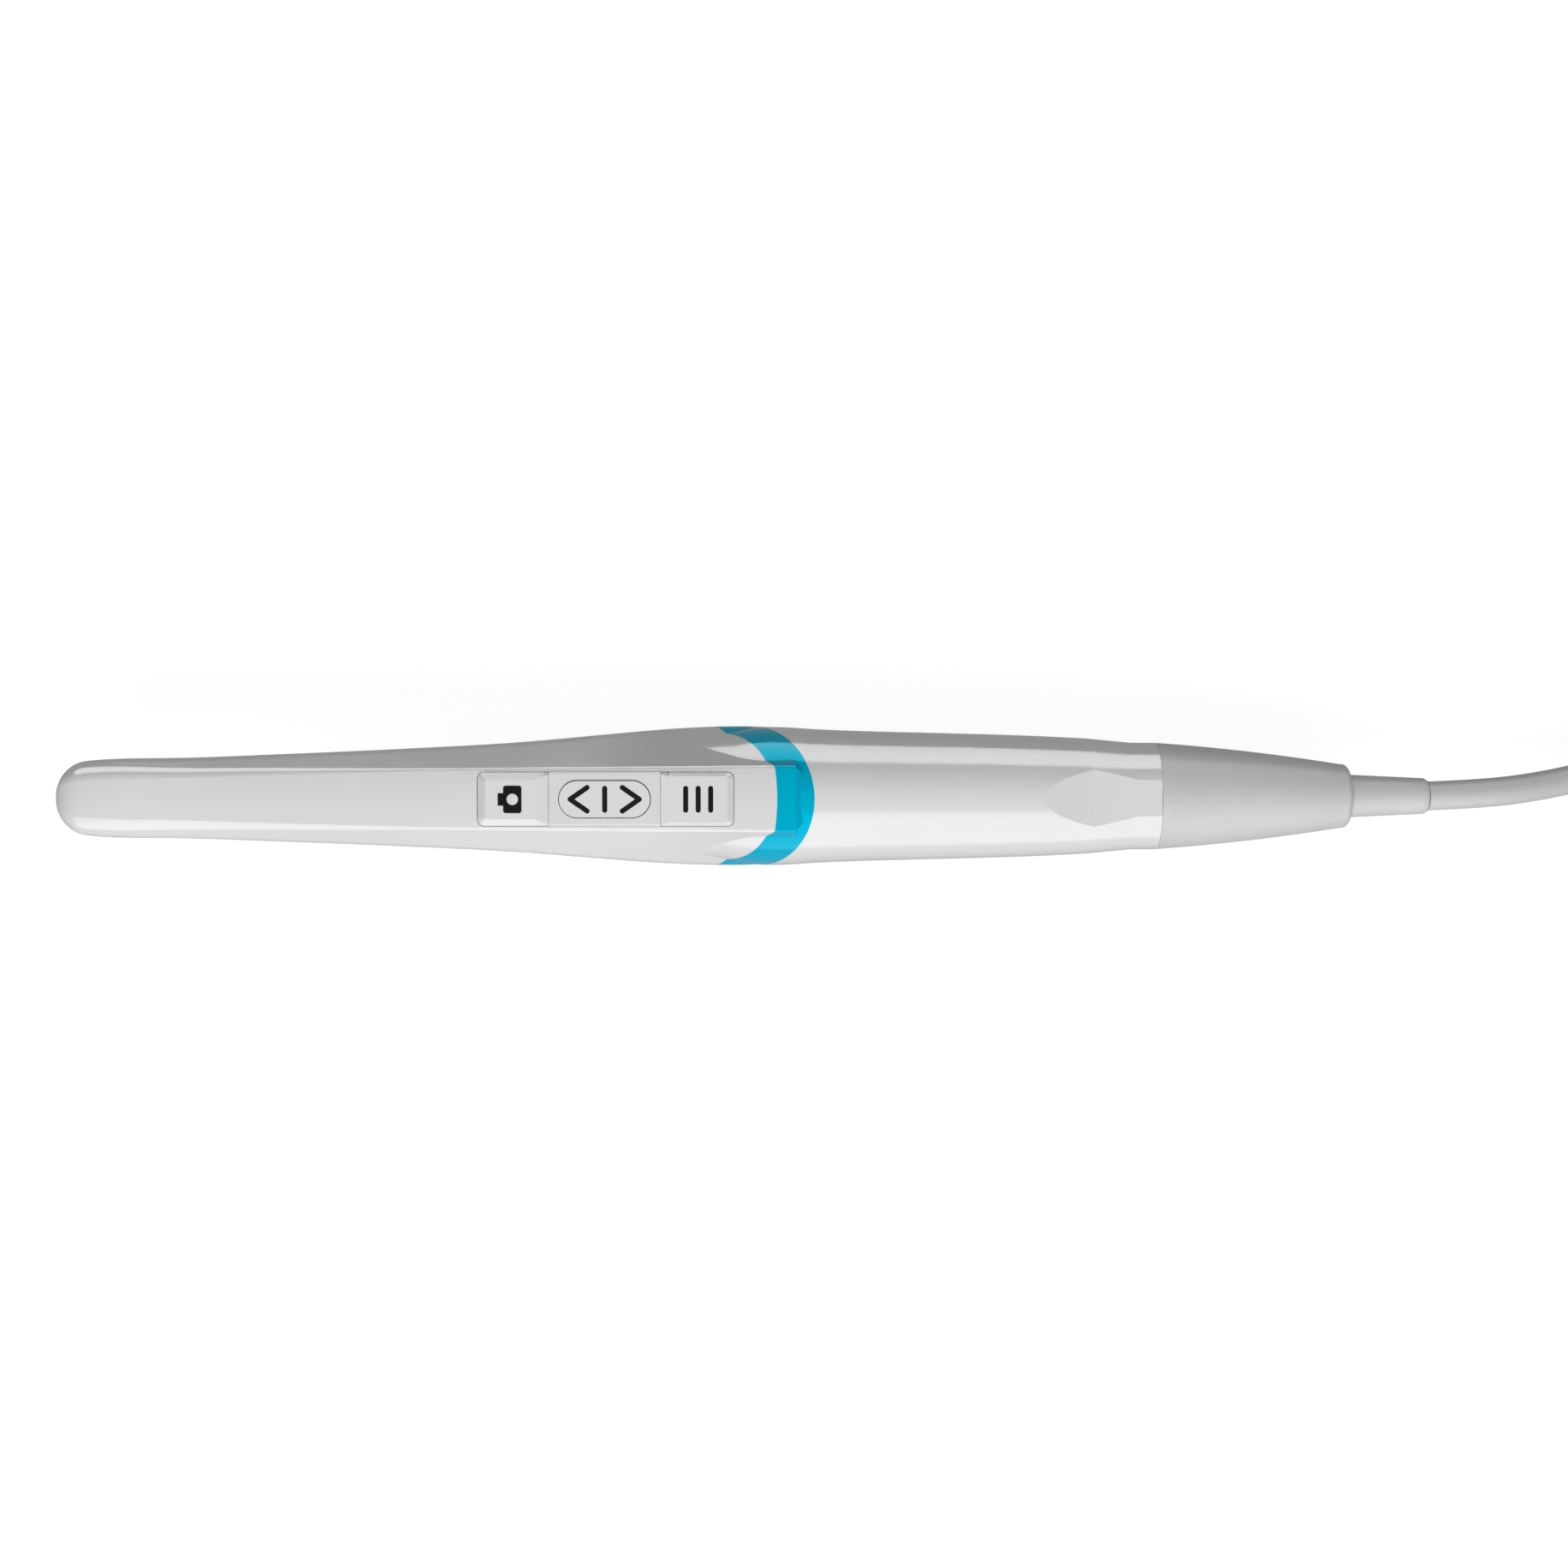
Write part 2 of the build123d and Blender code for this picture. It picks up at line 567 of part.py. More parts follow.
MAIN_BOARD = ((50.0, 150.0), (-4.0, 4.0), (2.6, MAIN_BOARD_TOP))
FLEX_THICKNESS = 0.15
flex_line = [(SENSOR_BOARD_X[1], 5.62), (46.0, 5.62), (50.5, 4.5), (53.0, 4.5)]
flex_outline = flex_line + [(x, z + FLEX_THICKNESS) for x, z in reversed(flex_line)]
sensor_flex = prism_xz(flex_outline, 1.6)
flex_socket = box((53.0, 57.0), (-2.3, 2.3), (MAIN_BOARD_TOP, 5.0))

save("window_bezel", window_bezel)
save("lens_window", lens_window)
save("led_board", led_board)
save("leds", Compound(children=leds))
save("prism", prism)
save("prism_holder", prism_holder)
save("lens_barrel", lens_barrel)
save("front_lens", lens((13.5, 15.3), 9.0))
save("focus_lens", lens((17.0, 19.2), 8.0))
save("rear_lens", lens((21.2, 22.8), 9.0))
save("image_sensor", image_sensor)
save("sensor_board", sensor_board)
save("heat_spreader", heat_spreader)
save("head_bulkhead", head_bulkhead)
save("sensor_flex", sensor_flex)
save("flex_socket", flex_socket)

# ------------------------------------------------------------------ electronics
CHASSIS_X, CHASSIS_Z = (54.0, 162.0), (1.2, 2.4)
SADDLES = [(59.0, 60.4), (84.0, 85.4)]
BOARD_SCREWS = [(x, side * 2.9) for x in (58.8, 106.0, 146.0) for side in SIDES]

main_board = box(*MAIN_BOARD)
chassis = box(CHASSIS_X, (-3.6, 3.6), CHASSIS_Z)
for saddle_x in SADDLES:
    chassis += inner_fit & box(saddle_x, (-12, 12), (-12, CHASSIS_Z[0] + 0.1))
tail_saddle = box((157.0, 158.4), (-9, 9), (-9, CHASSIS_Z[0] + 0.1))
chassis += rod(BORE_REAR - FIT, (157.0, 158.4)) & tail_saddle
board_screws = []
for x, y in BOARD_SCREWS:
    chassis += post(1.1, x, y, (CHASSIS_Z[1] - 0.1, MAIN_BOARD[2][0]))
    screw = post(0.95, x, y, (MAIN_BOARD_TOP, 4.1)) + post(0.5, x, y, (1.6, MAIN_BOARD_TOP + 0.1))
    board_screws.append(screw)
for screw in board_screws:
    main_board -= screw
    chassis -= screw

capacitors = []
for row in range(7):
    for side in SIDES:
        x = 71.5 + 4.2 * row
        capacitors.append(box((x, x + 1.0), (side * 2.2 - 0.8, side * 2.2 + 0.8), (MAIN_BOARD_TOP, 4.3)))
status_leds = [
    box((108.6, 110.0), (side * 2.4 - 0.7, side * 2.4 + 0.7), (MAIN_BOARD_TOP, 4.2)) for side in SIDES
]
memory_chips = [box((x, x + 6.0), (-2.6, 2.6), (MAIN_BOARD_TOP, 4.4)) for x in (126.0, 133.5)]

save("main_board", main_board)
save("chassis", chassis)
save("board_screws", Compound(children=board_screws))
save("capacitors", Compound(children=capacitors))
save("status_leds", Compound(children=status_leds))
save("processor", box((113.0, 123.0), (-3.6, 3.6), (MAIN_BOARD_TOP, 4.6)))
save("memory_chips", Compound(children=memory_chips))
save("motion_sensor", box((62.0, 64.6), (-1.3, 1.3), (MAIN_BOARD_TOP, 4.4)))

CABLE_START = 187.0
wire_socket = box((141.5, 149.4), (-1.9, 1.9), (MAIN_BOARD_TOP, 6.0))
cable_wires = []
for place in (-1.5, -0.5, 0.5, 1.5):
    start = Vector(149.5, place, 4.9)
    end = Vector(CABLE_START, place * 0.8, 0)
    run = end - start
    tube = Cylinder(0.38, run.length, align=(Align.CENTER, Align.CENTER, Align.MIN))
    cable_wires.append(Plane(origin=start, z_dir=run) * tube)
cable_tail = rod(CORD_RADIUS, (CABLE_START, RELIEF_END))
for wire in cable_wires:
    cable_tail -= wire
cord_clamp = rod(4.3, (188.0, 193.6)) - rod(CORD_RADIUS, (180, 200))

save("wire_socket", wire_socket)
save("cable_wires", Compound(children=cable_wires))
save("cable_tail", cable_tail)
save("cord_clamp", cord_clamp)


# ------------------------------------------------------------------ cord, hank and plug
def arc_radii(points):
    """The largest tangent arc at each inner point of a route, in millimetres."""
    vectors = [Vector(*p) for p in points]
    radii = []
    for before, here, after in zip(vectors, vectors[1:], vectors[2:]):
        turn = math.radians((here - before).get_angle(after - here))
        shorter = min((here - before).length, (after - here).length)
        radii.append(0.45 * shorter / math.tan(turn / 2))
    return radii


def cord_along(points, label):
    """A round cord along a route of straight runs joined by tangent arcs."""
    radii = arc_radii(points)
    path = FilletPolyline(*points, radius=radii)
    section = Plane(origin=path @ 0, z_dir=path % 0) * Circle(CORD_RADIUS)
    tube = sweep(section, path=path)
    expected = math.pi * CORD_RADIUS**2 * path.length
    print(label, "length", round(path.length, 1), "radii", [round(r, 1) for r in radii])
    print(label, "volume over section times length", round(tube.volume / expected, 4))
    return tube, path.length


def racetrack(radius, z):
    """A slab with two half-round ends, as wide as twice the radius."""
    outline = Pos(HANK_START_X + HANK_RUN / 2, HANK_Y) * SlotCenterToCenter(HANK_RUN, 2 * radius)
    return slab(outline, z)


hank_z = (FLOOR + HANK_LIFT, FLOOR + HANK_LIFT + HANK_LAYERS * 2 * CORD_RADIUS)
hank_outside = HANK_RADII[-1] + CORD_RADIUS
hank_inside = HANK_RADII[0] - CORD_RADIUS
cord_hank = racetrack(hank_outside, hank_z) - racetrack(hank_inside, (hank_z[0] - 1, hank_z[1] + 1))
cord_tube, lead_length = cord_along(CORD_LEAD, "lead")
cord_tail, tail_length = cord_along(CORD_TAIL, "tail")
cord_tube -= cord_hank
cord_tail -= cord_hank
hank_turns = 10
mean_turn = 2 * HANK_RUN + 2 * math.pi * HANK_RADII[1]
print("cord length", round(lead_length + tail_length + hank_turns * mean_turn))

tie_x = HANK_START_X + HANK_RUN / 2
bundle_y = (HANK_Y - hank_outside, HANK_Y - hank_inside)
tie_span = (tie_x - TIE_WIDTH / 2, tie_x + TIE_WIDTH / 2)
tie_hole = box(tie_span, (bundle_y[0] - FIT, bundle_y[1] + FIT), (hank_z[0] - FIT, hank_z[1] + FIT))
tie_block = box(
    tie_span,
    (bundle_y[0] - FIT - TIE_THICKNESS, bundle_y[1] + FIT + TIE_THICKNESS),
    (hank_z[0] - FIT - TIE_THICKNESS, hank_z[1] + FIT + TIE_THICKNESS),
)
cord_tie = tie_block - tie_hole

PLUG_RELIEF, PLUG_BODY, PLUG_SHELL = 7.0, 17.5, 12.0
plug_ends = [PLUG_X + PLUG_RELIEF, PLUG_X + PLUG_RELIEF + PLUG_BODY]
relief_cone = Location((PLUG_X + PLUG_RELIEF / 2, PLUG_Y, PLUG_Z), (0, 90, 0))
plug_relief = relief_cone * Cone(2.5, 3.3, PLUG_RELIEF)
body_section = Plane(origin=(plug_ends[0], PLUG_Y, PLUG_Z), x_dir=(0, 1, 0), z_dir=(1, 0, 0))
plug_body = extrude(body_section * RectangleRounded(14.6, 8.0, 2.2), PLUG_BODY)
shell_section = Plane(origin=(plug_ends[1], PLUG_Y, PLUG_Z), x_dir=(0, 1, 0), z_dir=(1, 0, 0))
plug_shell = extrude(shell_section * RectangleRounded(12.0, 4.5, 0.5), PLUG_SHELL)
plug_shell -= extrude(shell_section * RectangleRounded(11.4, 3.9, 0.3), PLUG_SHELL)
plug_tongue = extrude(shell_section * Pos(0, 1.0) * Rectangle(11.0, 1.86), PLUG_SHELL - 0.6)
contacts = []
for place in (-3.5, -1.0, 1.0, 3.5):
    pad = shell_section * Pos(place, -0.05) * Rectangle(1.1, 0.24)
    contacts.append(extrude(pad, PLUG_SHELL - 2.0))

save("cord_tube", cord_tube)
save("cord_hank", cord_hank)
save("cord_tail", cord_tail)
save("cord_tie", cord_tie)
save("plug_relief", plug_relief)
save("plug_body", plug_body)
save("plug_shell", plug_shell)
save("plug_tongue", plug_tongue)
save("plug_contacts", Compound(children=contacts))
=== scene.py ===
"""Looks for the intraoral camera: view, cord, plug, strap, materials, stage and light."""
import bmesh
import bpy
import json
import math
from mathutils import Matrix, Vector


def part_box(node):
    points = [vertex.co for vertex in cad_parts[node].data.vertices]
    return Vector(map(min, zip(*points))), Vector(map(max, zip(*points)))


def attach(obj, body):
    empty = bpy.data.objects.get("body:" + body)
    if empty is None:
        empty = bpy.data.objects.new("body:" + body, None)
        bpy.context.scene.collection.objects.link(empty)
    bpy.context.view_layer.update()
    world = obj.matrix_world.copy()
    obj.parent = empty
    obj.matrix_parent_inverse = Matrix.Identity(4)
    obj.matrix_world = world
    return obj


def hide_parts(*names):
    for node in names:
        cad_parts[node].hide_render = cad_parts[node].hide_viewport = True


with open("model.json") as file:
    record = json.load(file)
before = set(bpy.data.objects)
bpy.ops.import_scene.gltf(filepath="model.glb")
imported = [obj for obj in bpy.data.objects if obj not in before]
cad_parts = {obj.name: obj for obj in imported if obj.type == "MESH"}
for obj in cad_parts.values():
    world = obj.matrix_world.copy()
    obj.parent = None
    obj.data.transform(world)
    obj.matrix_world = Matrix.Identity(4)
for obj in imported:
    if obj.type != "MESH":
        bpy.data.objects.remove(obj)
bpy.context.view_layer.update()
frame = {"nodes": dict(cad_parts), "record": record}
scene = bpy.context.scene
MM = 0.001

# The handpiece's own measure, as in the CAD source: x along it, z from the grip's axis.
NOSE_X = 1.9
RELIEF_END = 212.3
BELLY_RADIUS = 10.87


def place(x, y, z):
    """A point of the handpiece's own measure, in millimetres, in the row frame in metres."""
    return Vector((x - (NOSE_X + RELIEF_END) / 2, y, z + BELLY_RADIUS)) * MM


# ------------------------------------------------------------------ camera
CAMERA_DISTANCE = 0.370  # metres
CAMERA_X, CAMERA_Y = 112.7, 1.86  # what it looks at, in the handpiece's own measure
CAMERA_TILT = math.radians(2.25)
FRAME_WIDTH = 0.2431  # metres across the view, at the grip's axis
SENSOR_WIDTH = 36.0  # millimetres

target = place(CAMERA_X, CAMERA_Y, 0)
camera_data = bpy.data.cameras.new("camera")
camera = bpy.data.objects.new("camera", camera_data)
scene.collection.objects.link(camera)
towards_camera = Vector((0, math.sin(CAMERA_TILT), math.cos(CAMERA_TILT)))
camera.location = target + CAMERA_DISTANCE * towards_camera
camera.rotation_euler = (-CAMERA_TILT, 0, 0)
camera_data.sensor_width = SENSOR_WIDTH
camera_data.lens = SENSOR_WIDTH * CAMERA_DISTANCE / FRAME_WIDTH
camera_data.clip_start, camera_data.clip_end = 0.01, 20.0
scene.camera = camera

# ------------------------------------------------------------------ cord route
CORD_RADIUS = 2.25
CORD_FLOOR = -BELLY_RADIUS
HANK_RUN, HANK_START_X, HANK_Y = 64.2, 263.0, -12.0  # the coil's straight runs and middle line
HANK_RADII = (12.5, 17.0, 21.5)  # fold radius of each column of turns, from the inside
HANK_LIFT = 0.8  # room for the strap under the turns
RUN_SHARES = (0.25, 0.75)  # where a straight run has its points
WANDER, WANDER_RATE = 0.35, 2.3  # how far the points of a run stray along it, turn by turn
LAYER_Z = [CORD_FLOOR + HANK_LIFT + CORD_RADIUS * (1 + 2 * layer) for layer in range(4)]
CORD_LEAD = [
    (RELIEF_END, 0.0, 0.0),
    (221.0, 0.3, -0.5),
    (230.5, 1.3, -3.0),
    (240.0, 3.1, -6.0),
    (250.5, 6.0, -7.6),
    (262.0, 8.7, LAYER_Z[0] + 0.1),
    (272.0, 9.5, LAYER_Z[0]),
]
CORD_TAIL = [
    (266.0, 0.0, -3.5),
    (277.2, -4.2, -5.1),
    (288.0, -8.6, -6.5),
    (294.0, -9.6, CORD_FLOOR + 4.0),
]
# Each turn of the hank as (column counted from the inside, layer counted from the floor).
TURNS = [(2, 0), (1, 0), (1, 1), (2, 1), (2, 2), (2, 3), (1, 3), (1, 2), (0, 2), (0, 1)]
FOLD_STEP = 30  # degrees between the points of a half-round fold
SPREAD = 1 / (0.75 + 0.25 * math.cos(math.radians(FOLD_STEP)))  # the curve runs inside its points


def fold_point(centre_x, side, angle, radius, z):
    """A control point on a half-round fold; angle runs from 0 to 180 degrees round it."""
    a = math.radians(90 - angle)
    reach = radius * SPREAD
    return (centre_x + side * reach * math.cos(a), HANK_Y + side * reach * math.sin(a), z)


def hank_points():
    """The cord's control points through all its turns, from the lead to the tail."""
    points = []
    angles = [FOLD_STEP / 2 + FOLD_STEP * step for step in range(180 // FOLD_STEP)]
    for turn, (column, layer) in enumerate(TURNS):
        radius, z = HANK_RADII[column], LAYER_Z[layer]
        following = TURNS[min(turn + 1, len(TURNS) - 1)]
        next_radius, next_z = HANK_RADII[following[0]], LAYER_Z[following[1]]
        wander = WANDER * math.sin(WANDER_RATE * turn)
        for share in RUN_SHARES:
            points.append((HANK_START_X + HANK_RUN * share, HANK_Y + radius, z))
        for angle in angles:
            points.append(fold_point(HANK_START_X + HANK_RUN, 1, angle, radius, z))
        for share in reversed(RUN_SHARES):
            points.append((HANK_START_X + HANK_RUN * share + wander, HANK_Y - radius, z))
        for angle in angles:
            blend = angle / 180
            r = radius + (next_radius - radius) * blend
            points.append(fold_point(HANK_START_X, -1, angle, r, z + (next_z - z) * blend))
    return points


def spline_object(name, points, radius):
    """A round cord along control points, in millimetres."""
    data = bpy.data.curves.new(name, "CURVE")
    data.dimensions = "3D"
    spline = data.splines.new("NURBS")
    spline.points.add(len(points) - 1)
    for point, control in zip(points, spline.points):
        control.co = (*place(*point), 1)
        control.radius = radius * MM  # thickness from here keeps the curve's bounding box true
    spline.order_u = 3
    spline.use_endpoint_u = True
    data.resolution_u = 8
    data.bevel_depth = 1.0
    data.bevel_resolution = 8
    data.use_fill_caps = True
    piece = bpy.data.objects.new(name, data)
    scene.collection.objects.link(piece)
    return piece


def tube_mesh(name, sections):
    """A closed skin through sections, each one a ring of the same number of points, in metres."""
    mesh = bpy.data.meshes.new(name)
    count = len(sections[0])
    vertices = [point for section in sections for point in section]
    faces = []
    for row in range(len(sections) - 1):
        here, there = row * count, (row + 1) * count
        for index in range(count):
            following = (index + 1) % count
            faces.append((here + index, here + following, there + following, there + index))
    for row, order in ((0, -1), (len(sections) - 1, 1)):
        ring = [row * count + index for index in range(count)]
        centre = len(vertices)
        vertices.append(sum((Vector(vertices[i]) for i in ring), Vector()) / count)
        for index in range(count):
            pair = (ring[index], ring[(index + 1) % count])
            faces.append((*pair[::order], centre))
    mesh.from_pydata(vertices, [], faces)
    mesh.polygons.foreach_set("use_smooth", [True] * len(mesh.polygons))
    mesh.update()
    piece = bpy.data.objects.new(name, mesh)
    scene.collection.objects.link(piece)
    shape = bmesh.new()
    shape.from_mesh(mesh)
    bmesh.ops.recalc_face_normals(shape, faces=shape.faces)
    shape.to_mesh(mesh)
    shape.free()
    return piece


def squared_ring(x, centre, half_width, half_height, power, count=72):
    """A rounded box outline across X; a higher power is squarer."""
    ring = []
    for index in range(count):
        a = 2 * math.pi * index / count
        c, d = math.cos(a), math.sin(a)
        y = half_width * math.copysign(abs(c) ** (2 / power), c)
        z = half_height * math.copysign(abs(d) ** (2 / power), d)
        ring.append((x, centre.y + y, centre.z + z))
    return ring


def smooth_step(value):
    """0 to 1 with level ends."""
    value = min(max(value, 0.0), 1.0)
    return value * value * (3 - 2 * value)


def make_plug_grip():
    """The moulded grip of the plug: soft ends and a field of shallow grooves round its middle."""
    low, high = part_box("plug_body")
    centre = (low + high) / 2
    half_width, half_height = (high.y - low.y) / 2, (high.z - low.z) / 2
    length = high.x - low.x
    stations, squareness, rounding = 120, 5.0, 1.1 * MM
    grooves, groove_depth, field_start, field_length = 6, 0.45 * MM, 0.22, 0.56
    neck_depth, neck_length = 0.9 * MM, 0.3
    sections = []
    for station in range(stations + 1):
        share = station / stations
        end = min(share, 1 - share) * length
        pull = rounding * (1 - math.sqrt(max(0.0, 1 - (1 - min(end / rounding, 1)) ** 2)))
        field = (share - field_start) / field_length
        dip = 0.0
        if 0 < field < 1:
            dip = groove_depth * (0.5 - 0.5 * math.cos(2 * math.pi * grooves * field)) ** 3
        neck = neck_depth * (1 - smooth_step(share / neck_length))
        y_half = half_width - (pull + dip + neck)
        z_half = half_height - pull - dip * 0.8 - neck * 0.6
        x = low.x + share * length
        sections.append(squared_ring(x, centre, y_half, z_half, squareness))
    piece = tube_mesh("plug_grip", sections)
    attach(piece, "root")
    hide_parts("plug_body")
    return piece


def make_plug_sleeve():
    """The ribbed sleeve that keeps the cord from kinking at the plug."""
    low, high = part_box("plug_relief")
    centre = (low + high) / 2
    length = high.x - low.x
    wide = (high.y - low.y) / 2
    narrow = (CORD_RADIUS + 0.25) * MM
    stations, ribs, roundness, count = 90, 5, 2.0, 48
    sections = []
    for station in range(stations + 1):
        share = station / stations
        rib = (0.5 - 0.5 * math.cos(2 * math.pi * ribs * share)) ** 0.6
        radius = narrow + (wide - narrow) * share * 0.85 + (0.1 + 0.3 * share) * MM * rib
        radius = min(radius, wide)
        x = low.x + share * length
        sections.append(squared_ring(x, centre, radius, radius, roundness, count))
    piece = tube_mesh("plug_sleeve", sections)
    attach(piece, "root")
    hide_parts("plug_relief")
    return piece


STRAP_STEP = 0.6 * MM
STRAP_CORNER_STEPS = 8


def strap_path(half_y, half_z, corner):
    """Points and outward directions round an upright oblong, about STRAP_STEP apart."""
    stops = []
    for turn, (side_y, side_z) in enumerate(((-1, 1), (-1, -1), (1, -1), (1, 1))):
        middle = (side_y * (half_y - corner), side_z * (half_z - corner))
        for step in range(STRAP_CORNER_STEPS + 1):
            a = math.radians(90 + 90 * turn + 90 * step / STRAP_CORNER_STEPS)
            out = (math.cos(a), math.sin(a))
            stops.append((middle[0] + corner * out[0], middle[1] + corner * out[1], *out))
    points = []
    for start, end in zip(stops, stops[1:] + stops[:1]):
        run = math.hypot(end[0] - start[0], end[1] - start[1])
        parts = max(1, round(run / STRAP_STEP))
        for part in range(parts):
            share = part / parts
            points.append([a + (b - a) * share for a, b in zip(start, end)])
    return points


def make_strap():
    """The hook-and-loop strap round the coil: one band whose end laps over its start."""
    low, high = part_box("cord_tie")
    thickness, corner, half_width = 0.6 * MM, 2.4 * MM, (high.x - low.x) / 2
    centre = (low + high) / 2
    half_y, half_z = (high.y - low.y - thickness) / 2, (high.z - low.z - thickness) / 2
    loop = strap_path(half_y, half_z, corner)
    before_corner, lap, rise, tip, count = 7, 22, 6, 6, 20  # in points of the path
    loop = loop[-before_corner:] + loop[:-before_corner]
    stations = loop + loop[:lap]
    sections = []
    for index, (y, z, out_y, out_z) in enumerate(stations):
        lift = thickness * smooth_step((index - len(loop) + rise) / rise)
        left = (len(stations) - 1 - index) / tip
        reach = half_width * math.sqrt(max(0.06, 1 - (1 - min(left, 1)) ** 2))
        ring = []
        for step in range(count):
            a = 2 * math.pi * step / count
            c, d = math.cos(a), math.sin(a)
            across = reach * math.copysign(abs(c) ** 0.25, c)
            up = lift + thickness / 2 * math.copysign(abs(d) ** 0.6, d)
            ring.append((centre.x + across, centre.y + y + out_y * up, centre.z + z + out_z * up))
        sections.append(ring)
    piece = tube_mesh("coil_strap", sections)
    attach(piece, "root")
    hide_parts("cord_tie")
    return piece


plug_grip, plug_sleeve, coil_strap = make_plug_grip(), make_plug_sleeve(), make_strap()
cord = spline_object("cord", CORD_LEAD + hank_points()[1:] + CORD_TAIL, CORD_RADIUS)
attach(cord, "root")
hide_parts("cord_tube", "cord_hank", "cord_tail")


# ------------------------------------------------------------------ materials
HANDLED = 0.05  # how much rougher plastic gets where hands have been
SKIN_DEPTH, DRAWN_DEPTH = 0.00002, 0.00001  # relief of moulded plastic and drawn metal, in metres


def tree_of(name):
    """A new node material with its Principled shader."""
    material = bpy.data.materials.new(name)
    material.use_nodes = True
    nodes = material.node_tree.nodes
    return material, material.node_tree, nodes["Principled BSDF"]


def noise(tree, scale, detail=3.0, roughness=0.5):
    """Noise over the object's own coordinates, in metres."""
    coordinates = tree.nodes.new("ShaderNodeTexCoord")
    texture = tree.nodes.new("ShaderNodeTexNoise")
    texture.inputs["Scale"].default_value = scale
    texture.inputs["Detail"].default_value = detail
    texture.inputs["Roughness"].default_value = roughness
    tree.links.new(coordinates.outputs["Object"], texture.inputs["Vector"])
    return texture.outputs["Fac"]


def remap(tree, value, low, high, out_low, out_high):
    """A value moved from one range to another."""
    node = tree.nodes.new("ShaderNodeMapRange")
    node.inputs["From Min"].default_value = low
    node.inputs["From Max"].default_value = high
    node.inputs["To Min"].default_value = out_low
    node.inputs["To Max"].default_value = out_high
    tree.links.new(value, node.inputs["Value"])
    return node.outputs["Result"]


def two_tone(tree, value, low, high):
    """A colour that wanders between two tones."""
    mix = tree.nodes.new("ShaderNodeMix")
    mix.data_type = "RGBA"
    mix.inputs["A"].default_value = (*low, 1)
    mix.inputs["B"].default_value = (*high, 1)
    tree.links.new(value, mix.inputs["Factor"])
    return mix.outputs["Result"]


def bump(tree, shader, height, strength, distance):
    """Fine relief from a height value; distance in metres."""
    node = tree.nodes.new("ShaderNodeBump")
    node.inputs["Strength"].default_value = strength
    node.inputs["Distance"].default_value = distance
    tree.links.new(height, node.inputs["Height"])
    tree.links.new(node.outputs["Normal"], shader.inputs["Normal"])


def plastic(name, low, high, rough, grain, relief, coat=0.0, specular=0.5, tint=(1, 1, 1)):
    """Moulded plastic: two close tones, handled patches in its gloss and a fine skin."""
    material, tree, shader = tree_of(name)
    cloud = remap(tree, noise(tree, 60, 4), 0.3, 0.7, 0, 1)
    tree.links.new(two_tone(tree, cloud, low, high), shader.inputs["Base Color"])
    patches = noise(tree, 140, 5, 0.6)
    result = remap(tree, patches, 0.35, 0.7, rough, rough + HANDLED)
    tree.links.new(result, shader.inputs["Roughness"])
    bump(tree, shader, noise(tree, grain, 3), relief, SKIN_DEPTH)
    shader.inputs["Specular IOR Level"].default_value = specular
    shader.inputs["Specular Tint"].default_value = (*tint, 1)
    shader.inputs["Coat Weight"].default_value = coat
    shader.inputs["Coat Roughness"].default_value = 0.06
    return material


def metal(name, tone, rough, stretch=(1, 1, 1)):
    """Metal with fine drawn lines along one way and a little tarnish."""
    material, tree, shader = tree_of(name)
    coordinates = tree.nodes.new("ShaderNodeTexCoord")
    mapping = tree.nodes.new("ShaderNodeMapping")
    mapping.inputs["Scale"].default_value = stretch
    tree.links.new(coordinates.outputs["Object"], mapping.inputs["Vector"])
    lines = tree.nodes.new("ShaderNodeTexNoise")
    lines.inputs["Scale"].default_value = 900
    lines.inputs["Detail"].default_value = 4
    tree.links.new(mapping.outputs["Vector"], lines.inputs["Vector"])
    dull = tuple(0.86 * c for c in tone)
    cloud = remap(tree, noise(tree, 200, 3), 0.3, 0.7, 0, 1)
    tree.links.new(two_tone(tree, cloud, dull, tone), shader.inputs["Base Color"])
    result = remap(tree, lines.outputs["Fac"], 0.3, 0.7, rough, rough + 0.14)
    tree.links.new(result, shader.inputs["Roughness"])
    bump(tree, shader, lines.outputs["Fac"], 0.15, DRAWN_DEPTH)
    shader.inputs["Metallic"].default_value = 1.0
    return material


def glass(name, tint):
    """Clear glass with faint smears."""
    material, tree, shader = tree_of(name)
    shader.inputs["Base Color"].default_value = (*tint, 1)
    shader.inputs["Transmission Weight"].default_value = 1.0
    shader.inputs["IOR"].default_value = 1.5
    smear = remap(tree, noise(tree, 300, 4), 0.45, 0.8, 0.01, 0.09)
    tree.links.new(smear, shader.inputs["Roughness"])
    return material


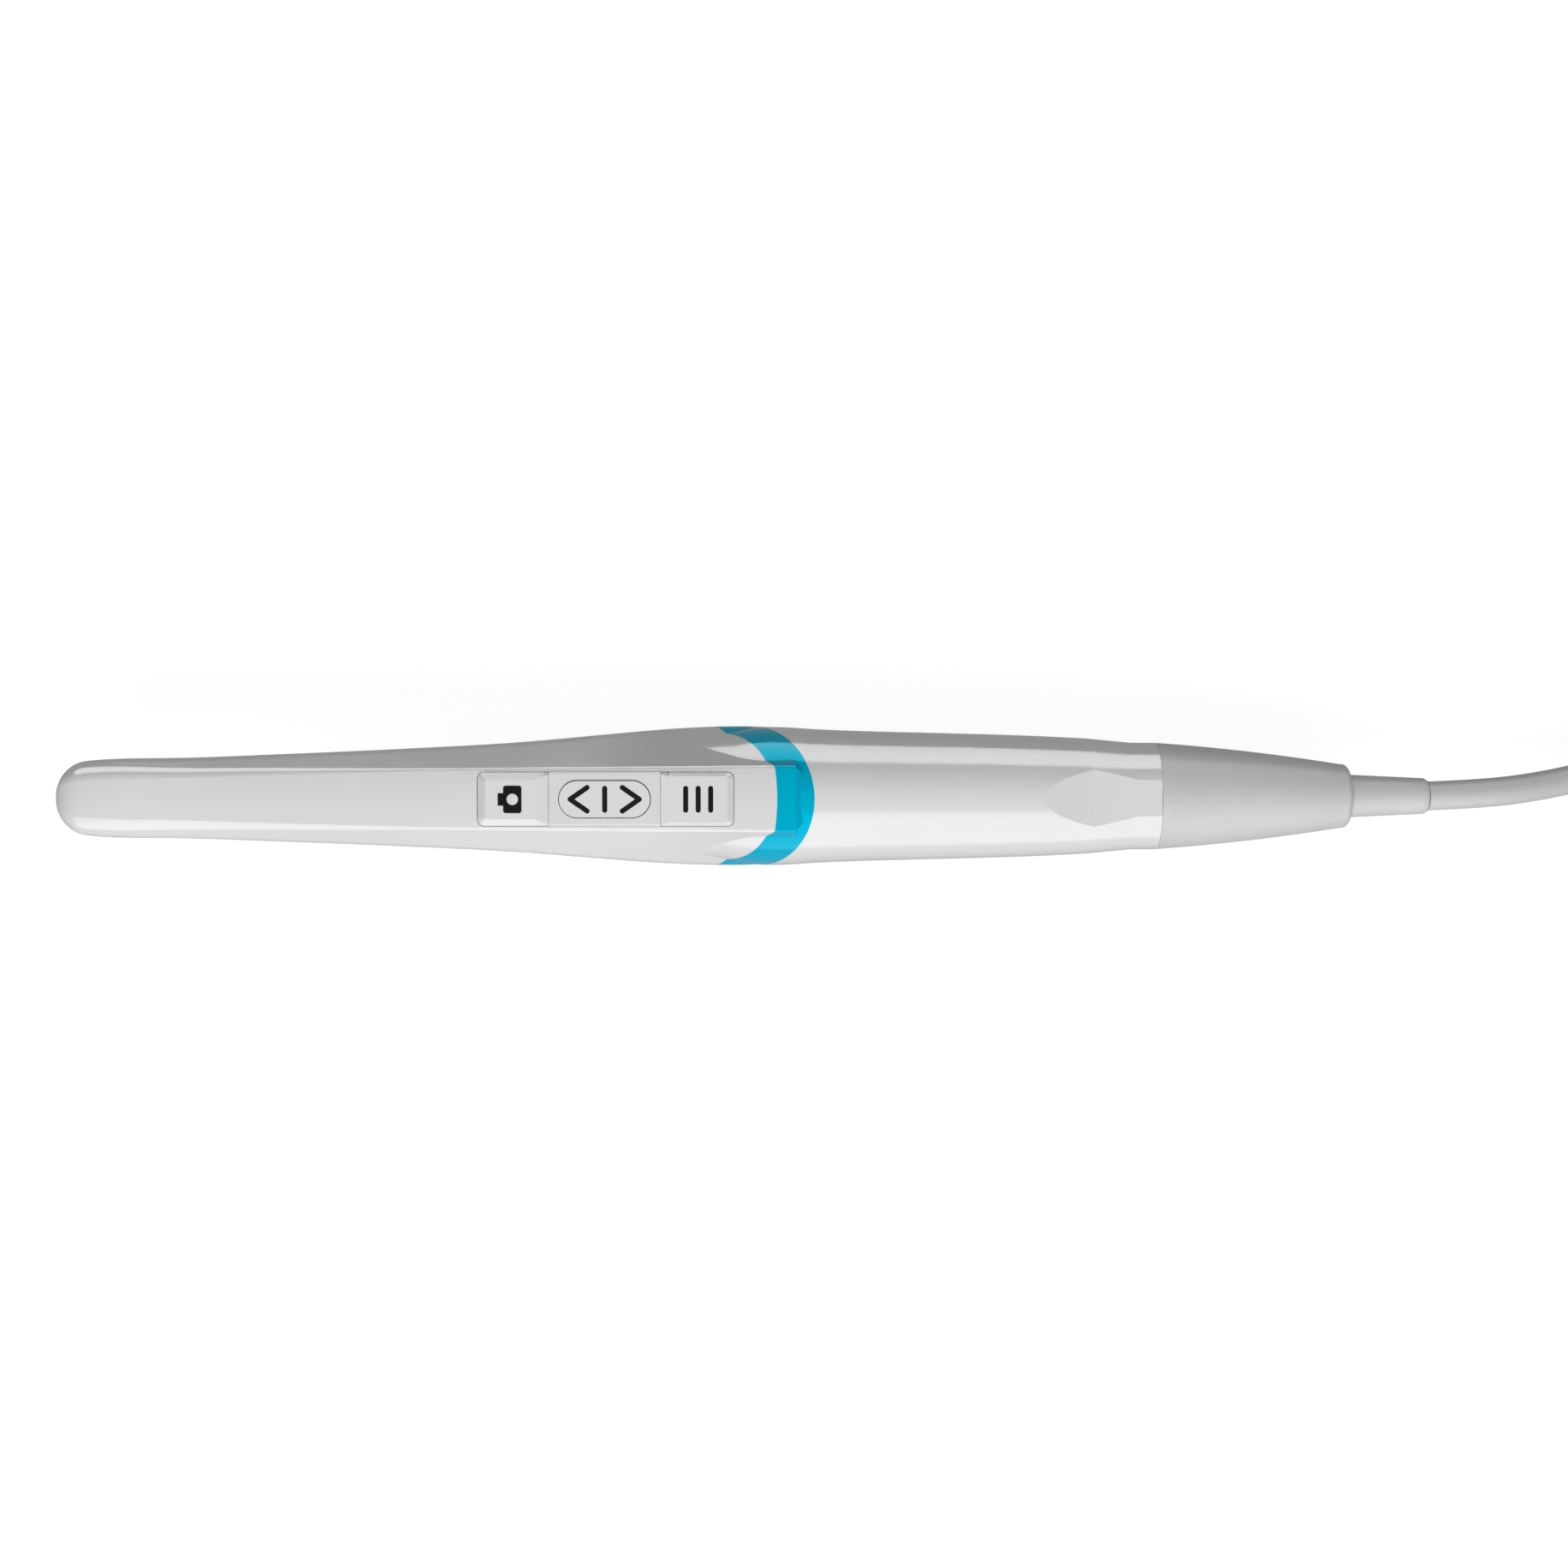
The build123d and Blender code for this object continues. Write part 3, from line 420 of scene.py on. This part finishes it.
MATERIALS = {
    "white_shell": plastic(
        "white_gloss", (0.66, 0.66, 0.66), (0.68, 0.68, 0.678), 0.16, 900, 0.05, coat=0.3
    ),
    "key_white": plastic(
        "key_white", (0.67, 0.67, 0.67), (0.69, 0.69, 0.688), 0.24, 1600, 0.08, coat=0.1
    ),
    "ring_cyan": plastic(
        "ring_cyan",
        (0, 0.37, 0.55),
        (0, 0.40, 0.59),
        0.12,
        900,
        0.04,
        specular=0.6,
        tint=(0, 0.78, 1),
    ),
    "soft_grey": plastic(
        "soft_grey", (0.51, 0.51, 0.51), (0.55, 0.55, 0.55), 0.50, 2600, 0.25, specular=0.35
    ),
    "symbol_black": plastic(
        "symbol_black", (0.003, 0.003, 0.003), (0.007, 0.007, 0.007), 0.55, 3000, 0.2, specular=0.15
    ),
    "cord_grey": plastic(
        "cord_grey", (0.49, 0.49, 0.49), (0.54, 0.54, 0.535), 0.48, 2200, 0.3, specular=0.35
    ),
    "plug_grey": plastic(
        "plug_grey", (0.56, 0.56, 0.565), (0.60, 0.60, 0.60), 0.45, 2400, 0.3, specular=0.35
    ),
    "tie_white": plastic("tie_white", (0.62, 0.62, 0.61), (0.70, 0.70, 0.69), 0.6, 1800, 0.4),
    "plug_steel": metal("plug_steel", (0.72, 0.72, 0.71), 0.2, (1, 12, 12)),
    "plug_white": plastic("plug_white", (0.78, 0.78, 0.76), (0.82, 0.82, 0.80), 0.4, 1500, 0.15),
    "contact_gold": metal("contact_gold", (0.85, 0.62, 0.25), 0.2, (1, 8, 8)),
    "pin_steel": metal("pin_steel", (0.6, 0.6, 0.6), 0.25),
    "dome_steel": metal("dome_steel", (0.7, 0.7, 0.68), 0.25),
    "window_glass": glass("window_glass", (0.96, 0.98, 1.0)),
    "bezel_steel": metal("bezel_steel", (0.68, 0.68, 0.69), 0.22, (14, 14, 1)),
    "optic_black": plastic("optic_black", (0.012, 0.012, 0.012), (0.02, 0.02, 0.02), 0.6, 2500, 0.3),
    "board_green": plastic("board_green", (0.01, 0.11, 0.05), (0.02, 0.15, 0.065), 0.35, 1800, 0.3),
    "chip_black": plastic("chip_black", (0.02, 0.02, 0.022), (0.03, 0.03, 0.032), 0.5, 2600, 0.3),
    "led_yellow": plastic(
        "led_yellow", (0.80, 0.66, 0.16), (0.86, 0.74, 0.26), 0.25, 1200, 0.1, coat=0.4
    ),
    "capacitor_tan": plastic(
        "capacitor_tan", (0.40, 0.30, 0.16), (0.50, 0.37, 0.21), 0.5, 2500, 0.2
    ),
    "socket_cream": plastic(
        "socket_cream", (0.70, 0.66, 0.52), (0.76, 0.72, 0.58), 0.45, 1500, 0.15
    ),
    "flex_amber": plastic("flex_amber", (0.50, 0.22, 0.03), (0.58, 0.27, 0.05), 0.3, 900, 0.1),
    "frame_alloy": metal("frame_alloy", (0.70, 0.70, 0.72), 0.35),
    "inner_grey": plastic("inner_grey", (0.22, 0.22, 0.225), (0.26, 0.26, 0.26), 0.5, 1800, 0.2),
    "seal_black": plastic("seal_black", (0.012, 0.012, 0.012), (0.02, 0.02, 0.02), 0.55, 1500, 0.2),
    "wire_red": plastic("wire_red", (0.42, 0.03, 0.025), (0.50, 0.05, 0.04), 0.4, 1500, 0.2),
}
node_slot = {part["node"]: part["material_slot"] for part in frame["record"]["subparts"]}


def paint(piece, material):
    """Gives a piece one material in every slot."""
    if not piece.data.materials:
        piece.data.materials.append(material)
    for index in range(len(piece.data.materials)):
        piece.data.materials[index] = material


for node, piece in frame["nodes"].items():
    paint(piece, MATERIALS[node_slot[node]])
paint(cord, MATERIALS["cord_grey"])
paint(plug_grip, MATERIALS["plug_grey"])
paint(plug_sleeve, MATERIALS["plug_grey"])
paint(coil_strap, MATERIALS["tie_white"])


# ------------------------------------------------------------------ edges of the CAD pieces
WELD_DISTANCE = 2e-6  # metres
EDGE_SEGMENTS = 3
SHARPEST_SMOOTH = math.radians(28)  # edges that turn more than this are rounded


def round_edges(node, width):
    """Joins a CAD node's faces and rounds its edges, without changing its mesh."""
    piece = frame["nodes"][node]
    weld = piece.modifiers.new("weld", "WELD")
    weld.merge_threshold = WELD_DISTANCE
    bevel = piece.modifiers.new("bevel", "BEVEL")
    bevel.width = width * MM
    bevel.segments = EDGE_SEGMENTS
    bevel.limit_method = "ANGLE"
    bevel.angle_limit = SHARPEST_SMOOTH
    bevel.harden_normals = True
    bevel.use_clamp_overlap = True


for node, width in {
    "capture_key": 0.16,
    "menu_key": 0.14,
    "rocker_key": 0.16,
    "key_panel": 0.10,
    "plug_shell": 0.12,
    "strain_relief": 0.25,
    "rear_cap": 0.22,
    "window_bezel": 0.15,
}.items():
    round_edges(node, width)


# ------------------------------------------------------------------ stage and light
FLOOR_REACH = 12.0  # metres each way, so that its edge is never seen
FLOOR_TONE, FLOOR_GLOW = 0.16, 0.9
WORLD_STRENGTH = 0.34


def area_light(name, location, aim, size, power, size_y):
    """A soft rectangular lamp that faces a point."""
    data = bpy.data.lights.new(name, "AREA")
    data.shape = "RECTANGLE"
    data.size = size
    data.size_y = size_y
    data.energy = power
    lamp = bpy.data.objects.new(name, data)
    scene.collection.objects.link(lamp)
    lamp.location = location
    lamp.rotation_euler = (Vector(aim) - Vector(location)).to_track_quat("-Z", "Y").to_euler()
    return lamp


def make_floor():
    """A plain pale floor that stays near white and doesn't light the object."""
    mesh = bpy.data.meshes.new("floor")
    sides = ((-1, -1), (1, -1), (1, 1), (-1, 1))
    corners = [(FLOOR_REACH * x, FLOOR_REACH * y, 0) for x, y in sides]
    mesh.from_pydata(corners, [], [(0, 1, 2, 3)])
    floor = bpy.data.objects.new("floor", mesh)
    scene.collection.objects.link(floor)
    material, tree, shader = tree_of("floor_white")
    shader.inputs["Base Color"].default_value = (FLOOR_TONE, FLOOR_TONE, FLOOR_TONE, 1)
    shader.inputs["Roughness"].default_value = 0.9
    shader.inputs["Specular IOR Level"].default_value = 0.1
    shader.inputs["Emission Color"].default_value = (1, 1, 1, 1)
    shader.inputs["Emission Strength"].default_value = FLOOR_GLOW
    floor.data.materials.append(material)
    floor.visible_diffuse = False
    floor.visible_glossy = False


make_floor()
# The lamps shade the object and the softboxes only shine in its gloss, so each is set on its own.
for lamp in (
    area_light("key", (0.0, -0.62, 0.62), (0, 0, 0.01), 0.9, 6.5, 0.5),
    area_light("top", (0.0, 0.0, 0.95), (0, 0, 0.01), 1.0, 1.7, 0.5),
):
    lamp.visible_glossy = False
for strip in (
    area_light("softbox_right", (0.0, -0.79, 0.44), (0, 0, 0.02), 1.9, 13.0, 1.26),
    area_light("softbox_left", (0.0, 0.89, 0.12), (0, 0, 0.02), 1.9, 20.0, 0.64),
):
    strip.visible_diffuse = False
world = bpy.data.worlds.new("world")
world.use_nodes = True
world.node_tree.nodes["Background"].inputs["Color"].default_value = (1, 1, 1, 1)
world.node_tree.nodes["Background"].inputs["Strength"].default_value = WORLD_STRENGTH
scene.world = world
scene.view_settings.view_transform = "Standard"

bpy.context.view_layer.update()
